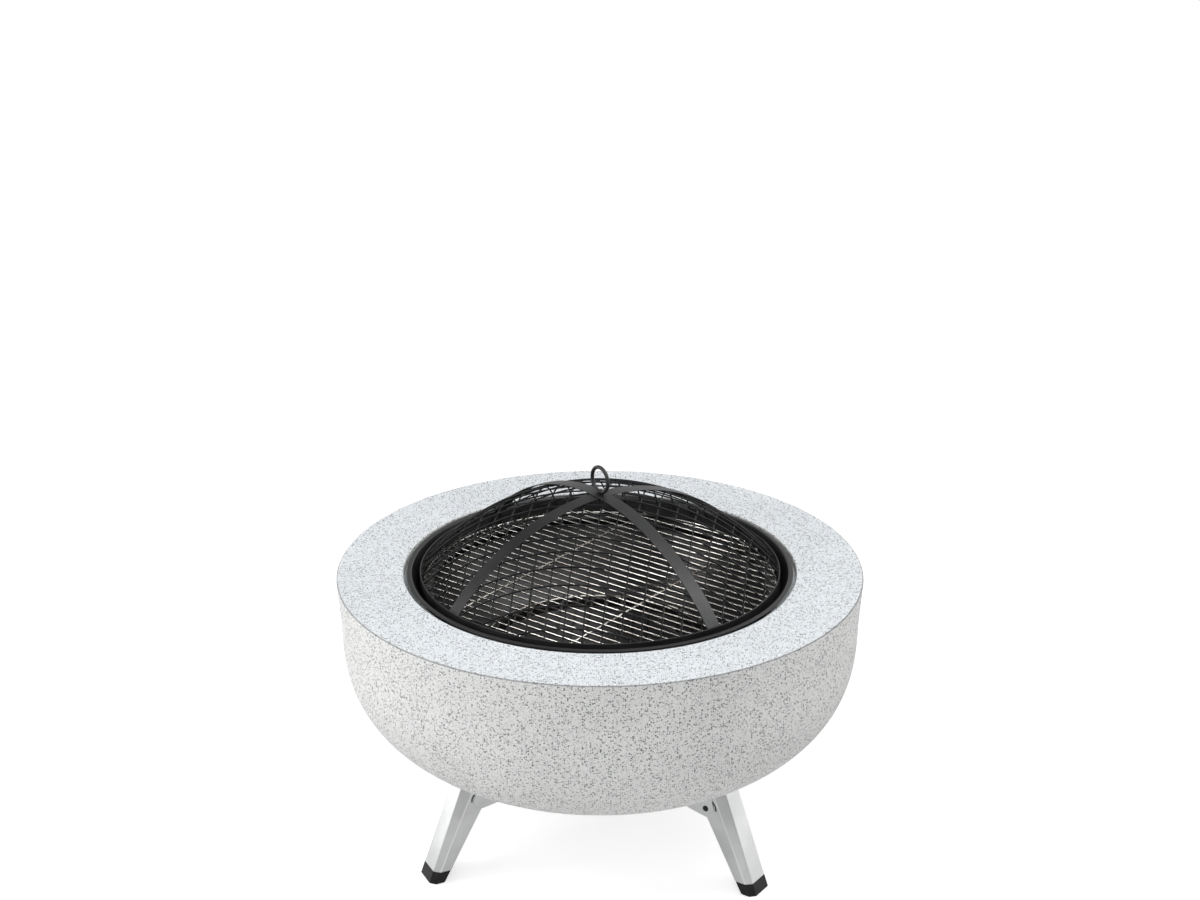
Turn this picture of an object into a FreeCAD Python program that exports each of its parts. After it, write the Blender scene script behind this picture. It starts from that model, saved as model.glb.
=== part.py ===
import FreeCAD, Part
import math
import os
from FreeCAD import Vector

# A round patio fire pit: a speckled cast stone bowl on three folding legs, a steel fire bowl
# in its recess, a charcoal grate, a cooking grill and a domed spark screen with a lifting eye.
# Millimetres. Origin on the floor under the middle of the bowl, +Z up, the front faces -Y.

# stone bowl
TOP = 410.0
BOWL_RADIUS = 350.0
WALL_FOOT_RADIUS = 345.5
WALL_DEPTH = 63.0
BELLY_CENTRE = -62.9
BELLY_DEPTH = 218.6
BELLY_POWER = 2.695
UNDERSIDE_DEPTH = 256.0
STONE = 18.0
RIM_THICKNESS = 26.0
RIM_EDGE = 2.5
RECESS_RADIUS = 261.6
RECESS_DEPTH = 12.0
MOUTH_RADIUS = 247.0

# fire bowl, heights from its lip
LIP = TOP + 0.4
LIP_RADIUS = 256.3
LIP_INNER = 250.8
SEAT_OUTER = 240.3
SEAT_INNER = 226.5
SEAT_DROP = 22.0
NECK_RADIUS = 231.0
NECK_DROP = 31.0
WALL_RADIUS = 209.1
WALL_DROP = 70.6
SHELF_OUTER = 166.0
SHELF_INNER = 158.0
SHELF_DROP = 121.0
SUMP_DROP = 133.0
FLOOR_RADIUS = 97.0
FLOOR_DROP = 169.0
SHEET = 1.6

# charcoal grate
GRATE_RADIUS = 160.7
GRATE_RING = 3.0
GRATE_WIRE = 1.75
GRATE_PITCH = 20.5
GRATE_COUNT = 15
GRATE_TURN = 85.8
GRATE_BAR = 148.8

# cooking grill
GRILL_RADIUS = 235.1
GRILL_RING = 2.0
GRILL_WIRE = 1.25
GRILL_PITCH = 15.15
GRILL_COUNT = 30
GRILL_TURN = -37.0
GRILL_BAR_OFFSET = 88.0

# spark screen
BAND_RADIUS = 239.8
BAND_SHEET = 1.5
BAND_HEIGHT = 23.3
DOME_RADIUS = 319.8
DOME_CROWN = 122.9
STRAP_WIDTH = 20.0
STRAP_SHEET = 1.2
STRAP_ANGLES = (37.0, -52.0)
STRAP_TAB = 14.0
MESH_WIRE = 1.05
MESH_PITCH = 24.0
MESH_SIDE = 9
MESH_TURN = -7.1
MESH_SHIFT_ACROSS = -5.2
MESH_SHIFT_ALONG = -6.2
MESH_END = 237.1
EYE_RADIUS = 17.0
EYE_WIRE = 2.5
STEM_RADIUS = 2.5
STEM_REACH = 14.0
COLLAR_RADIUS = 5.1
COLLAR_HEIGHT = 5.5
NUT_FLATS = 8.0
NUT_HEIGHT = 4.0

# legs, in each leg's own plane: x outwards, y along the hinge, z up
LEG_ANGLES = {"left": -64.2, "right": 55.8, "back": 175.8}
PIVOT_X = 186.5
PIVOT_Z = 113.7
PIN_RADIUS = 3.0
PIN_HEAD = 4.2
LEG_FACE = 15.0
LEG_SIDE = 22.5
LEG_WALL = 2.0
FACE_X, FACE_SLOPE = 262.8, 0.371
EDGE_X, EDGE_SLOPE = 256.2, 0.434
BACK_X, BACK_SLOPE = 243.0, 0.5585
FOOT_HEIGHT = 17.0
PLATE = 2.5
EAR = 2.0
EAR_GAP = 0.3

Z = Vector(0, 0, 1)
UNDERSIDE = TOP - UNDERSIDE_DEPTH
SEAT = LIP - SEAT_DROP
DOME_MIDDLE = SEAT + DOME_CROWN - DOME_RADIUS
GAP = 0.05


def polar(radius, z):
    return Vector(radius, 0, z)


def line(a, b):
    return Part.LineSegment(a, b).toShape()


def arc(a, middle, b):
    return Part.Arc(a, middle, b).toShape()


def chain(points):
    return [line(a, b) for a, b in zip(points, points[1:])]


def spun(edges):
    face = Part.Face(Part.Wire(edges))
    return face.revolve(Vector(0, 0, 0), Z, 360)


def rod(a, b, radius):
    return Part.makeCylinder(radius, (b - a).Length, a, b - a)


def ring(radius, wire, z):
    return Part.makeTorus(radius, wire, Vector(0, 0, z), Z)


def turned(shape, degrees):
    copy = shape.copy()
    copy.rotate(Vector(0, 0, 0), Z, degrees)
    return copy


def export(name, shape):
    shape.exportStep("parts/" + name + ".step")


# The outer skin of the stone bowl rounds under along a squarish ellipse; the inner skin is
# the same curve, one wall in.
def belly(inset, t):
    out = math.cos(t) ** (2 / BELLY_POWER)
    down = math.sin(t) ** (2 / BELLY_POWER)
    radius = BELLY_CENTRE + (WALL_FOOT_RADIUS - inset - BELLY_CENTRE) * out
    return polar(radius, TOP - WALL_DEPTH - (BELLY_DEPTH - inset) * down)


def belly_curve(inset, steps=14):
    drop = (UNDERSIDE_DEPTH - inset - WALL_DEPTH) / (BELLY_DEPTH - inset)
    last = math.asin(drop ** (BELLY_POWER / 2))
    points = [belly(inset, last * i / steps) for i in range(steps + 1)]
    curve = Part.BSplineCurve()
    curve.interpolate(points)
    return curve.toShape(), points[0], points[-1]


def stone_bowl():
    outer, outer_top, outer_foot = belly_curve(0)
    inner, inner_top, inner_foot = belly_curve(STONE)
    corner = RIM_EDGE * (1 - math.sqrt(0.5))
    ledge = TOP - RECESS_DEPTH
    rim_under = TOP - RIM_THICKNESS
    edges = chain([
        polar(MOUTH_RADIUS, rim_under),
        polar(MOUTH_RADIUS, ledge - 1),
        polar(MOUTH_RADIUS + 1, ledge),
        polar(RECESS_RADIUS, ledge),
        polar(RECESS_RADIUS, TOP - 1),
        polar(RECESS_RADIUS + 1, TOP),
        polar(BOWL_RADIUS - RIM_EDGE, TOP)])
    edges.append(arc(polar(BOWL_RADIUS - RIM_EDGE, TOP),
                     polar(BOWL_RADIUS - corner, TOP - corner),
                     polar(BOWL_RADIUS, TOP - RIM_EDGE)))
    edges.append(line(polar(BOWL_RADIUS, TOP - RIM_EDGE), outer_top))
    edges.append(outer)
    edges += chain([outer_foot, polar(0, UNDERSIDE), polar(0, UNDERSIDE + STONE), inner_foot])
    edges.append(inner)
    edges += chain([inner_top, polar(inner_top.x + 2, rim_under - 8),
                    polar(inner_top.x - 6, rim_under), polar(MOUTH_RADIUS, rim_under)])
    bowl = spun(edges)
    for x, y in screw_places():
        for angle in LEG_ANGLES.values():
            hole = Part.makeCylinder(2.5, 14, Vector(x, y, UNDERSIDE), Z)
            bowl = bowl.cut(turned(hole, angle - 90))
    return bowl


def screw_places():
    return [(156, 0), (174, 0)]


# The fire bowl is one pressed sheet: lip, flared band, flat seat, rolled neck, dished wall,
# a shelf for the grate and a sump.
def bowl_skin(step):
    """The skin's section, step millimetres out from its inner face."""
    flare = math.atan2(LIP_INNER - SEAT_OUTER, SEAT_DROP)
    ease = step * math.tan((math.pi / 2 - flare) / 2)
    lip = polar(LIP_RADIUS, LIP - step)
    lip_in = polar(LIP_INNER + ease, LIP - step)
    crease = polar(SEAT_OUTER + ease, SEAT - step)
    seat_in = polar(SEAT_INNER + step * 1.5, SEAT - step)
    roll = polar(SEAT_INNER - 1 + step, SEAT - 1.8)
    seat_low = polar(SEAT_INNER + 0.6 + step, SEAT - 4.0)
    neck = polar(NECK_RADIUS + step, LIP - NECK_DROP)
    wall = polar(WALL_RADIUS + step * 0.81, LIP - WALL_DROP - step * 0.59)
    shelf_out = polar(SHELF_OUTER + step * 0.7, LIP - SHELF_DROP - step)
    shelf_in = polar(SHELF_INNER + step, LIP - SHELF_DROP - step)
    sump = polar(SHELF_INNER - 1 + step, LIP - SUMP_DROP)
    floor = polar(FLOOR_RADIUS, LIP - FLOOR_DROP - step)
    dish = (sump + floor) * 0.5 + polar(0.5, -0.9)
    edges = chain([lip, lip_in, crease, seat_in])
    edges.append(arc(seat_in, roll, seat_low))
    edges.append(line(seat_low, neck))
    edges.append(arc(neck, wall, shelf_out))
    edges += chain([shelf_out, shelf_in, sump])
    edges.append(arc(sump, dish, floor))
    edges.append(line(floor, polar(0, LIP - FLOOR_DROP - step)))
    return edges, lip


def fire_bowl():
    inner, inner_lip = bowl_skin(0)
    outer, outer_lip = bowl_skin(SHEET)
    hem = arc(inner_lip, polar(LIP_RADIUS + SHEET / 2, LIP - SHEET / 2), outer_lip)
    middle = line(polar(0, LIP - FLOOR_DROP), polar(0, LIP - FLOOR_DROP - SHEET))
    return spun(Part.__sortEdges__(inner + outer + [hem, middle]))


def wire_row(pitch, count, reach, wire, z):
    """Straight wires side by side, each ending at the given radius."""
    wires = []
    for i in range(count):
        offset = (i - (count - 1) / 2) * pitch
        half = math.sqrt(reach ** 2 - offset ** 2)
        wires.append(rod(Vector(-half, offset, z), Vector(half, offset, z), wire))
    return Part.Compound(wires)


def charcoal_grate():
    z = LIP - SHELF_DROP + GRATE_RING
    top = z + GRATE_RING + GRATE_WIRE + GAP
    bar = rod(Vector(0, -GRATE_BAR, z), Vector(0, GRATE_BAR, z), GRATE_RING)
    export("grate_ring", ring(GRATE_RADIUS, GRATE_RING, z))
    wires = wire_row(GRATE_PITCH, GRATE_COUNT, GRATE_RADIUS - 1, GRATE_WIRE, top)
    export("grate_wires", turned(wires, GRATE_TURN))
    export("grate_crossbar", turned(bar, GRATE_TURN))


def cooking_grill():
    z = SEAT + GRILL_RING
    top = z + GRILL_RING + GRILL_WIRE + GAP
    inside = GRILL_RADIUS - GRILL_RING
    half = math.sqrt(inside ** 2 - (GRILL_BAR_OFFSET + GRILL_RING) ** 2) - 0.1
    bars = []
    for x in (-GRILL_BAR_OFFSET, GRILL_BAR_OFFSET):
        bars.append(rod(Vector(x, -half, z), Vector(x, half, z), GRILL_RING))
    export("grill_ring", ring(GRILL_RADIUS, GRILL_RING, z))
    wires = wire_row(GRILL_PITCH, GRILL_COUNT, GRILL_RADIUS + 1.2, GRILL_WIRE, top)
    export("grill_wires", turned(wires, GRILL_TURN))
    export("grill_crossbars", turned(Part.Compound(bars), GRILL_TURN))


# The spark screen's dome is part of a sphere. From outside in: the upper strap, the lower
# strap, the wires across and the wires along.
def strap(inner, angle):
    """A flat strap bent over the dome, its ends turned down inside the band."""
    outer = inner + STRAP_SHEET
    edge = BAND_RADIUS - BAND_SHEET - 0.4
    knee = edge - 0.4
    side = edge - STRAP_SHEET
    knee_out = polar(knee, DOME_MIDDLE + math.sqrt(outer ** 2 - knee ** 2))
    knee_in = polar(side, DOME_MIDDLE + math.sqrt(inner ** 2 - side ** 2))
    bend = knee_out.z - 1
    low = SEAT + BAND_HEIGHT - STRAP_TAB - 1
    edges = [arc(knee_out, polar(0, DOME_MIDDLE + outer), polar(-knee, knee_out.z))]
    edges += chain([polar(-knee, knee_out.z), polar(-edge, bend), polar(-edge, low),
                    polar(-side, low), polar(-side, knee_in.z)])
    edges.append(arc(polar(-side, knee_in.z), polar(0, DOME_MIDDLE + inner), knee_in))
    edges += chain([knee_in, polar(side, low), polar(edge, low), polar(edge, bend), knee_out])
    face = Part.Face(Part.Wire(edges))
    face.translate(Vector(0, -STRAP_WIDTH / 2, 0))
    bar = face.extrude(Vector(0, STRAP_WIDTH, 0))
    hole = Part.makeCylinder(STEM_RADIUS + 0.05, 60, Vector(0, 0, DOME_MIDDLE + inner - 30), Z)
    return turned(bar.cut(hole), angle - 90)


def wire_end(offset, side, bend, degrees):
    """How far a wire runs down the dome; one that comes to a strap's tab stops short of it."""
    for reach in (MESH_END, MESH_END - STRAP_SHEET - 1):
        run = math.sqrt(reach ** 2 - offset ** 2)
        bearing = math.atan2(offset, side * run) + math.radians(degrees + 90)
        beside = [abs(reach * math.sin(bearing - math.radians(angle))) for angle in STRAP_ANGLES]
        if min(beside) > STRAP_WIDTH / 2 + 2 * MESH_WIRE:
            break
    return side * math.degrees(math.asin(run / bend))


def mesh_row(sphere, shift, degrees):
    """Wires bent over the dome in parallel upright planes."""
    wires = []
    for i in range(-MESH_SIDE, MESH_SIDE + 1):
        offset = shift + i * MESH_PITCH
        bend = math.sqrt(sphere ** 2 - offset ** 2)
        start, end = [wire_end(offset, side, bend, degrees) for side in (-1, 1)]
        place = Vector(0, offset, DOME_MIDDLE)
        section = Part.makeCircle(MESH_WIRE, place + Vector(0, 0, bend), Vector(1, 0, 0))
        disc = Part.Face(Part.Wire([section]))
        disc.rotate(place, Vector(0, 1, 0), start)
        wires.append(disc.revolve(place, Vector(0, 1, 0), end - start))
    return turned(Part.Compound(wires), degrees)


def eye_bolt(crown):
    eye = crown + EYE_RADIUS + EYE_WIRE
    loop = Part.makeTorus(EYE_RADIUS, EYE_WIRE, Vector(0, 0, eye), Vector(0, 1, 0))
    collar = Part.makeCylinder(COLLAR_RADIUS, COLLAR_HEIGHT, Vector(0, 0, crown), Z)
    foot = crown - STEM_REACH
    stem = Part.makeCylinder(STEM_RADIUS, STEM_REACH + 1, Vector(0, 0, foot), Z)
    return turned(loop.fuse([collar, stem]), STRAP_ANGLES[0] - 90)


def eye_nut(top):
    """A hexagon nut with one flat towards the nearest wire across."""
    corner = Part.Vertex(NUT_FLATS / math.sqrt(3), 0, top - NUT_HEIGHT)
    points = [turned(corner, 60 * i + MESH_TURN).Point for i in range(7)]
    face = Part.Face(Part.makePolygon(points))
    nut = face.extrude(Vector(0, 0, NUT_HEIGHT))
    return nut.cut(Part.makeCylinder(STEM_RADIUS + 0.02, 20, Vector(0, 0, top - 10), Z))


def spark_screen():
    outer = Part.makeCylinder(BAND_RADIUS, BAND_HEIGHT, Vector(0, 0, SEAT), Z)
    inner = Part.makeCylinder(BAND_RADIUS - BAND_SHEET, BAND_HEIGHT, Vector(0, 0, SEAT), Z)
    lower = DOME_RADIUS + MESH_WIRE + GAP
    upper = lower + STRAP_SHEET + 0.2
    along = DOME_RADIUS - 2 * MESH_WIRE - GAP
    export("screen_band", outer.cut(inner))
    export("screen_strap_upper", strap(upper, STRAP_ANGLES[0]))
    export("screen_strap_lower", strap(lower, STRAP_ANGLES[1]))
    export("screen_wires_across", mesh_row(DOME_RADIUS, MESH_SHIFT_ACROSS, MESH_TURN))
    export("screen_wires_along", mesh_row(along, MESH_SHIFT_ALONG, MESH_TURN + 90))
    export("eye_bolt", eye_bolt(DOME_MIDDLE + upper + STRAP_SHEET))
    export("eye_nut", eye_nut(DOME_MIDDLE + lower - GAP))


# A leg is a folded channel: a flat face, two bevels and two sides, all tapering to the foot.
def leg_section(z, inset, back):
    face = FACE_X - FACE_SLOPE * z - inset
    edge = EDGE_X - EDGE_SLOPE * z - inset * 0.8
    rear = BACK_X - BACK_SLOPE * z - back
    front = LEG_FACE - inset * 0.4
    side = LEG_SIDE - inset
    half = [(face, front), (edge, side), (rear, side)]
    points = [Vector(x, y, z) for x, y in half]
    points += [Vector(x, -y, z) for x, y in reversed(half)]
    return Part.makePolygon(points + points[:1])


def leg_block(low, high, inset, back):
    sections = [leg_section(low, inset, back), leg_section(high, inset, back)]
    return Part.makeLoft(sections, True, True)


def leg():
    top = UNDERSIDE - PLATE
    channel = leg_block(FOOT_HEIGHT, top, 0, 0).cut(leg_block(FOOT_HEIGHT - 1, top + 1, LEG_WALL, 30))
    behind = Part.makeBox(60, 80, 80, Vector(PIVOT_X - 60, -40, PIVOT_Z - 8))
    eye = Part.makeCylinder(10, 80, Vector(PIVOT_X, -40, PIVOT_Z), Vector(0, 1, 0))
    channel = channel.cut(behind.cut(eye))
    bore = Part.makeCylinder(PIN_RADIUS + 0.05, 80, Vector(PIVOT_X, -40, PIVOT_Z), Vector(0, 1, 0))
    return channel.cut([bore, leg_slot()])


def leg_slot():
    """A narrow curved slot in both sides, round the pin."""
    pin = Vector(PIVOT_X, -40, PIVOT_Z)
    slot = Part.makeCylinder(15.6, 80, pin, Vector(0, 1, 0))
    slot = slot.cut(Part.makeCylinder(13.6, 80, pin, Vector(0, 1, 0)))
    window = Part.makeBox(20, 80, 15, Vector(PIVOT_X, -40, PIVOT_Z - 1))
    return slot.common(window)


def foot():
    cap = leg_block(0, FOOT_HEIGHT, -0.3, 0.3)
    plug = leg_block(FOOT_HEIGHT, FOOT_HEIGHT + 12, LEG_WALL + 0.1, -2)
    return cap.fuse(plug).removeSplitter()


def bracket():
    """A plate under the stone with two ears that hold the hinge pin."""
    base = UNDERSIDE - PLATE
    inside = LEG_SIDE + EAR_GAP
    plate = Part.makeBox(46, 2 * (inside + EAR), PLATE, Vector(145, -inside - EAR, base))
    for x, y in screw_places():
        plate = plate.cut(Part.makeCylinder(2.6, 10, Vector(x, y, base - 2), Z))
    pin = Vector(PIVOT_X, 0, PIVOT_Z)
    reach = 12.3
    edges = chain([Vector(195, 0, 130), Vector(191, 0, base), Vector(145, 0, base), Vector(145, 0, 124)])
    edges.append(arc(Vector(145, 0, 124), Vector(150.5, 0, 112.5), Vector(162, 0, 106)))
    edges.append(line(Vector(162, 0, 106), pin + Vector(-2, 0, -math.sqrt(reach ** 2 - 4))))
    edges.append(arc(pin + Vector(-2, 0, -math.sqrt(reach ** 2 - 4)),
                     pin + Vector(reach * math.sqrt(0.5), 0, -reach * math.sqrt(0.5)),
                     pin + Vector(reach, 0, 0)))
    edges.append(line(pin + Vector(reach, 0, 0), Vector(195, 0, 130)))
    ear = Part.Face(Part.Wire(edges)).extrude(Vector(0, EAR, 0))
    ear = ear.cut(Part.makeCylinder(PIN_RADIUS + 0.02, 20, pin - Vector(0, 5, 0), Vector(0, 1, 0)))
    left = ear.copy()
    left.translate(Vector(0, inside, 0))
    right = ear.copy()
    right.translate(Vector(0, -inside - EAR, 0))
    return plate.fuse([left, right]).removeSplitter()


def hinge_pin():
    """A rivet with a shallow head at one end, its other end ground flush with the ear."""
    half = LEG_SIDE + EAR_GAP + EAR
    seat = Vector(PIVOT_X, -half, PIVOT_Z)
    shaft = rod(seat, Vector(PIVOT_X, half, PIVOT_Z), PIN_RADIUS)
    return shaft.fuse(Part.makeCone(PIN_HEAD, PIN_HEAD - 0.9, 1.8, seat, Vector(0, -1, 0)))


def bracket_screw(x, y):
    base = UNDERSIDE - PLATE
    head = Part.makeCone(3.2, 4.6, 2.6, Vector(x, y, base - 2.6), Z)
    return head.fuse(Part.makeCylinder(2.5, 14 + PLATE - 0.5, Vector(x, y, base), Z))


def around(shapes):
    """Copies of the shapes at every leg."""
    return [turned(shape, angle - 90) for angle in LEG_ANGLES.values() for shape in shapes]


os.makedirs("parts", exist_ok=True)
export("stone_bowl", stone_bowl())
export("fire_bowl", fire_bowl())
charcoal_grate()
cooking_grill()
spark_screen()
for side, angle in LEG_ANGLES.items():
    export("leg_" + side, turned(leg(), angle - 90))
    export("foot_" + side, turned(foot(), angle - 90))
    export("bracket_" + side, turned(bracket(), angle - 90))
export("hinge_pins", Part.Compound(around([hinge_pin()])))
export("bracket_screws", Part.Compound(around([bracket_screw(x, y) for x, y in screw_places()])))
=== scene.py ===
import math

import bmesh
import bpy
from bpy.props import FloatProperty, FloatVectorProperty, IntProperty, PointerProperty
from bpy.types import NodeSocket, Operator, Panel, PropertyGroup
from mathutils import Matrix, Vector


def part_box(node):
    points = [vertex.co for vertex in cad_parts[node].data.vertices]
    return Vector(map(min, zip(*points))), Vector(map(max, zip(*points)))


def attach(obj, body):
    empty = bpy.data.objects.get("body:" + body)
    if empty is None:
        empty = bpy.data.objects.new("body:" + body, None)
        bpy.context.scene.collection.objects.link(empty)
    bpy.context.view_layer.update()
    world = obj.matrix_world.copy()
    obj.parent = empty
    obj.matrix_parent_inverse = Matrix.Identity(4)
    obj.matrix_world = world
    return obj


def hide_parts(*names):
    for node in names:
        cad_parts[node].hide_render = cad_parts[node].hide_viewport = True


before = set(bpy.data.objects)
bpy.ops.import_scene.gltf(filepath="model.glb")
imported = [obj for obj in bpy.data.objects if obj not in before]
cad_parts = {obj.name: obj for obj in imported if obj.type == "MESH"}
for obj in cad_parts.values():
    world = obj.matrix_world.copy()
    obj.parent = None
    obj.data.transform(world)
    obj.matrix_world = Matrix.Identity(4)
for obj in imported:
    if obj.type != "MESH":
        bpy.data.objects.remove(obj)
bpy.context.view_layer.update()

bl_info = {
    "name": "Patio fire pit",
    "version": (1, 0, 0),
    "blender": (4, 5, 0),
    "location": "View3D > Sidebar > Fire pit",
    "description": "A cast stone fire pit with fire bowl, grate, grill, screen and folding legs",
    "category": "Object",
}


def mm(value):
    """Millimetres as metres."""
    return value * 0.001


STONE_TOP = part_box("stone_bowl")[1][2]
STONE_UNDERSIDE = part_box("stone_bowl")[0][2]
STONE_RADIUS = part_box("stone_bowl")[1][0]
LIP_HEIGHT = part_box("fire_bowl")[1][2]
BAND_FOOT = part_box("screen_band")[0][2]
BAND_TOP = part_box("screen_band")[1][2]
BAND_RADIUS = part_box("screen_band")[1][0]
LEG_SIDES = ("left", "right", "back")
LEG_TOP = STONE_UNDERSIDE - mm(2.5)
EAR_GAP = mm(2.3)
SCREW_PLACES = (mm(156), mm(174))
CUT_REACH = mm(40)


def place(name, description, default, **limits):
    return FloatProperty(name=name, description=description, default=default,
                         subtype="DISTANCE", unit="LENGTH", precision=4, **limits)


def size(name, description, default):
    return place(name, description, default, min=0.0)


def bearing(name, description, degrees):
    return FloatProperty(name=name, description=description, default=math.radians(degrees),
                         subtype="ANGLE", unit="ROTATION")


def shade(name, description, default):
    return FloatVectorProperty(name=name, description=description, default=default,
                               subtype="COLOR", size=3, min=0.0, max=1.0)


def power(name, description, default):
    return FloatProperty(name=name, description=description, default=default, min=0.0,
                         subtype="POWER", unit="POWER")


class StoneBowlSizes(PropertyGroup):
    radius: size("Radius", "Rim radius", STONE_RADIUS)
    top: size("Top", "Rim height above the floor", STONE_TOP)
    underside: size("Underside", "Height of the flat underside", STONE_UNDERSIDE)
    wall: size("Wall", "Thickness of the stone", mm(18))
    edge: size("Edge", "Rounding of the rim's outer edge", mm(2.5))
    recess: size("Recess", "Radius of the recess", mm(261.6))
    recess_depth: size("Recess depth", "Depth of the recess", mm(12))
    mouth: size("Mouth", "Radius of the opening in the recess", mm(247))
    grey: shade("Stone", "Colour of the cast stone", (0.88, 0.882, 0.875))
    # Painted shade: the hollow's colour is darker than the stone itself, standing in for the shade
    # inside the hollow.
    hollow: shade("Hollow", "Colour of the stone inside the hollow", (0.455, 0.462, 0.47))
    fleck: shade("Flecks", "Colour of the dark flecks", (0.04, 0.04, 0.04))


class FireBowlSizes(PropertyGroup):
    lip: size("Lip height", "Height of the lip above the floor", LIP_HEIGHT)
    sheet: size("Sheet", "Thickness of the pressed sheet", mm(1.6))
    bend: size("Bend", "Inner radius of the pressed bends", mm(2.4))
    paint: shade("Paint", "Colour of the heat paint", (0.0095, 0.0098, 0.0103))


class GrateSizes(PropertyGroup):
    ring: size("Ring", "Radius of the ring", mm(160.7))
    ring_wire: size("Ring wire", "Radius of the ring's wire", mm(3))
    wire: size("Wire", "Radius of the wires", mm(1.75))
    pitch: size("Pitch", "Distance from wire to wire", mm(20.5))
    reach: size("Reach", "Radius at which the wires end", mm(159.7))
    count: IntProperty(name="Wires", description="How many wires", default=15, min=1)
    turn: bearing("Turn", "Turn of the wires about the middle", 85.8)
    bar: size("Crossbar", "Half length of the crossbar", mm(148.8))
    plating: shade("Plating", "Colour of the bright plating", (0.52, 0.51, 0.49))


class GrillSizes(PropertyGroup):
    ring: size("Ring", "Radius of the ring", mm(235.1))
    ring_wire: size("Ring wire", "Radius of the ring's wire", mm(2))
    wire: size("Wire", "Radius of the wires", mm(1.25))
    pitch: size("Pitch", "Distance from wire to wire", mm(15.15))
    reach: size("Reach", "Radius at which the wires end", mm(236.3))
    count: IntProperty(name="Wires", description="How many wires", default=30, min=1)
    turn: bearing("Turn", "Turn of the wires about the middle", -37.0)
    bar_offset: size("Crossbars", "Distance of the crossbars from the middle", mm(88))


class ScreenSizes(PropertyGroup):
    band: size("Band", "Radius of the band", BAND_RADIUS)
    band_sheet: size("Band sheet", "Thickness of the band", mm(1.5))
    dome: size("Dome", "Radius of the dome", mm(319.8))
    crown: size("Crown", "Height of the dome above the band's foot", mm(122.9))
    wire: size("Wire", "Radius of the mesh wires", mm(1.12))
    pitch: size("Pitch", "Distance from wire to wire", mm(24))
    count: IntProperty(name="Wires", description="How many wires each way", default=19, min=1)
    reach: size("Reach", "Radius at which the wires end", mm(237.1))
    turn: bearing("Turn", "Turn of the mesh about the middle", -7.1)
    shift_across: place("Shift across", "Sideways shift of the wires across", mm(-5.2))
    shift_along: place("Shift along", "Sideways shift of the wires along", mm(-6.2))
    strap: size("Strap", "Width of the straps", mm(20))
    strap_sheet: size("Strap sheet", "Thickness of the straps", mm(1.2))
    upper_turn: bearing("Upper strap", "Bearing of the upper strap", 37.0)
    lower_turn: bearing("Lower strap", "Bearing of the lower strap", -52.0)
    eye: size("Eye", "Radius of the lifting eye", mm(17))
    eye_wire: size("Eye wire", "Radius of the eye's wire", mm(2.5))
    coat: shade("Coat", "Colour of the powder coat", (0.013, 0.0134, 0.0142))


class LegSizes(PropertyGroup):
    left: bearing("Left leg", "Bearing of the left leg", -64.2)
    right: bearing("Right leg", "Bearing of the right leg", 55.8)
    back: bearing("Back leg", "Bearing of the back leg", 175.8)
    pin_out: size("Pin distance", "Distance of the hinge pin from the middle", mm(186.5))
    pin_up: size("Pin height", "Height of the hinge pin", mm(113.7))
    pin: size("Pin", "Radius of the hinge pin", mm(3))
    face: size("Face", "Half width of the leg's face", mm(15))
    side: size("Side", "Half width over the leg's sides", mm(22.5))
    wall: size("Wall", "Thickness of the leg's sheet", mm(2))
    bend: size("Bend", "Outer radius of the leg's folds", mm(2.6))
    foot: size("Foot", "Height of the foot cap", mm(17))
    alloy: shade("Alloy", "Colour of the satin alloy", (0.83, 0.835, 0.84))
    rubber: shade("Foot", "Colour of the moulded feet", (0.008, 0.008, 0.0084))


class StageSizes(PropertyGroup):
    floor: FloatProperty(name="Floor", description="How pale the floor is",
                         default=0.78, min=0.0, max=1.0)
    camera_back: size("Camera distance", "Distance of the camera in front of the middle", 2.701)
    camera_up: size("Camera height", "Height of the camera", 1.6115)
    camera_tilt: bearing("Camera tilt", "Tilt of the camera up from straight down", 69.03)
    lens: FloatProperty(name="Lens", description="Focal length of the camera", default=66.35,
                        subtype="DISTANCE_CAMERA", unit="CAMERA")
    left: power("Left lamp", "Power of the soft lamp on the left", 14.0)
    right: power("Right lamp", "Power of the soft lamp on the right", 9.6)
    front: power("Front lamp", "Power of the soft lamp on the front left", 10.0)
    left_high: power("High left lamp", "Power of the lamp high on the left", 7.5)
    front_high: power("High front lamp", "Power of the lamp above the camera", 16.0)
    right_high: power("High right lamp", "Power of the lamp high on the right", 11.0)
    above: power("Top lamp", "Power of the soft lamp above", 25.0)
    strip: power("Strip lamp", "Power of the narrow lamp on the upper left", 12.5)
    sky: FloatProperty(name="Sky", description="Strength of the even light all round",
                       default=0.3, min=0.0)


def rounded(corners, steps, closed=True):
    """A section's points, each corner (x, y, radius) rounded off in a few steps."""
    points = []
    last = len(corners) - 1
    for i, (x, y, radius) in enumerate(corners):
        here = Vector((x, y))
        if radius == 0 or (not closed and i in (0, last)):
            points.append(here)
            continue
        back = (Vector(corners[i - 1][:2]) - here).normalized()
        ahead = (Vector(corners[(i + 1) % (last + 1)][:2]) - here).normalized()
        half = back.angle(ahead) / 2
        centre = here + (back + ahead).normalized() * (radius / math.sin(half))
        start = here + back * (radius / math.tan(half)) - centre
        end = here + ahead * (radius / math.tan(half)) - centre
        sweep = math.atan2(start.x * end.y - start.y * end.x, start.dot(end))
        for k in range(steps + 1):
            points.append(centre + Matrix.Rotation(sweep * k / steps, 2) @ start)
    return points


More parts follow.
